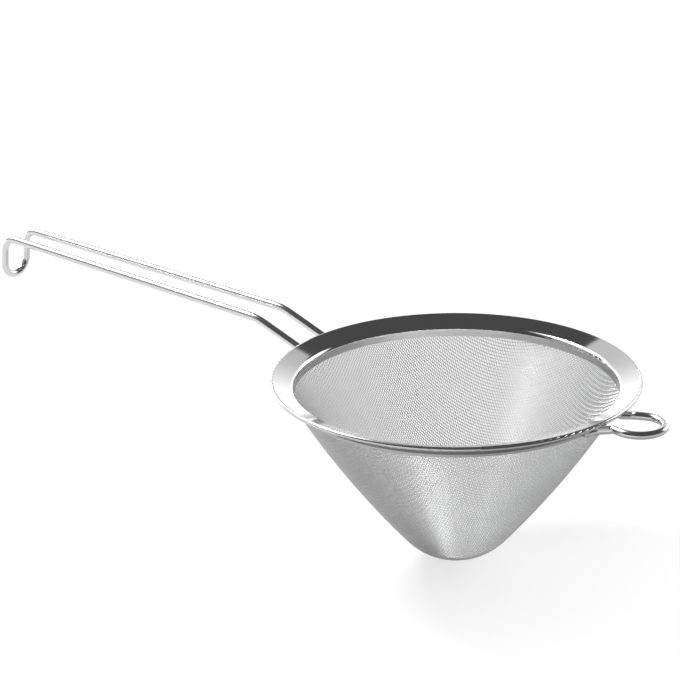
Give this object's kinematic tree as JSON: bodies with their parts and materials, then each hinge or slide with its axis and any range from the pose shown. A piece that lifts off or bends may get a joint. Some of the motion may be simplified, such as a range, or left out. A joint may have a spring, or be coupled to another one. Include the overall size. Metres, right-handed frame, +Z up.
{
  "type": "chinois strainer",
  "caption": "Conical fine-mesh strainer: woven wire basket in a pressed steel rim, with a hairpin wire handle that ends in a hanging bow and a wire rest loop for a pot's edge.",
  "frame": {"origin": "on the basket's axis, at mid height of the collar's straight wall, about the plane in which the handle's legs and the rest loop lie on a pot's edge", "axes": "+Z up out of the mouth along the basket's axis; the handle runs along -X and the rest loop stands near +X, turned 7.6 degrees towards +Y"},
  "size_m": [0.417, 0.18, 0.1049],
  "materials": {
    "rim_steel": "polished stainless sheet",
    "band_steel": "satin stainless strip",
    "mesh_steel": "bright woven stainless wire cloth",
    "wire_steel": "polished stainless wire",
    "weld_steel": "weld metal, brushed clean"
  },
  "bodies": {
    "root": {"rim_ring": "rim_steel", "clamp_band": "band_steel", "mesh_basket": "mesh_steel", "handle_wire": "wire_steel", "rest_loop": "wire_steel", "handle_welds": "weld_steel", "rest_loop_welds": "weld_steel"}
  },
  "joints": []
}
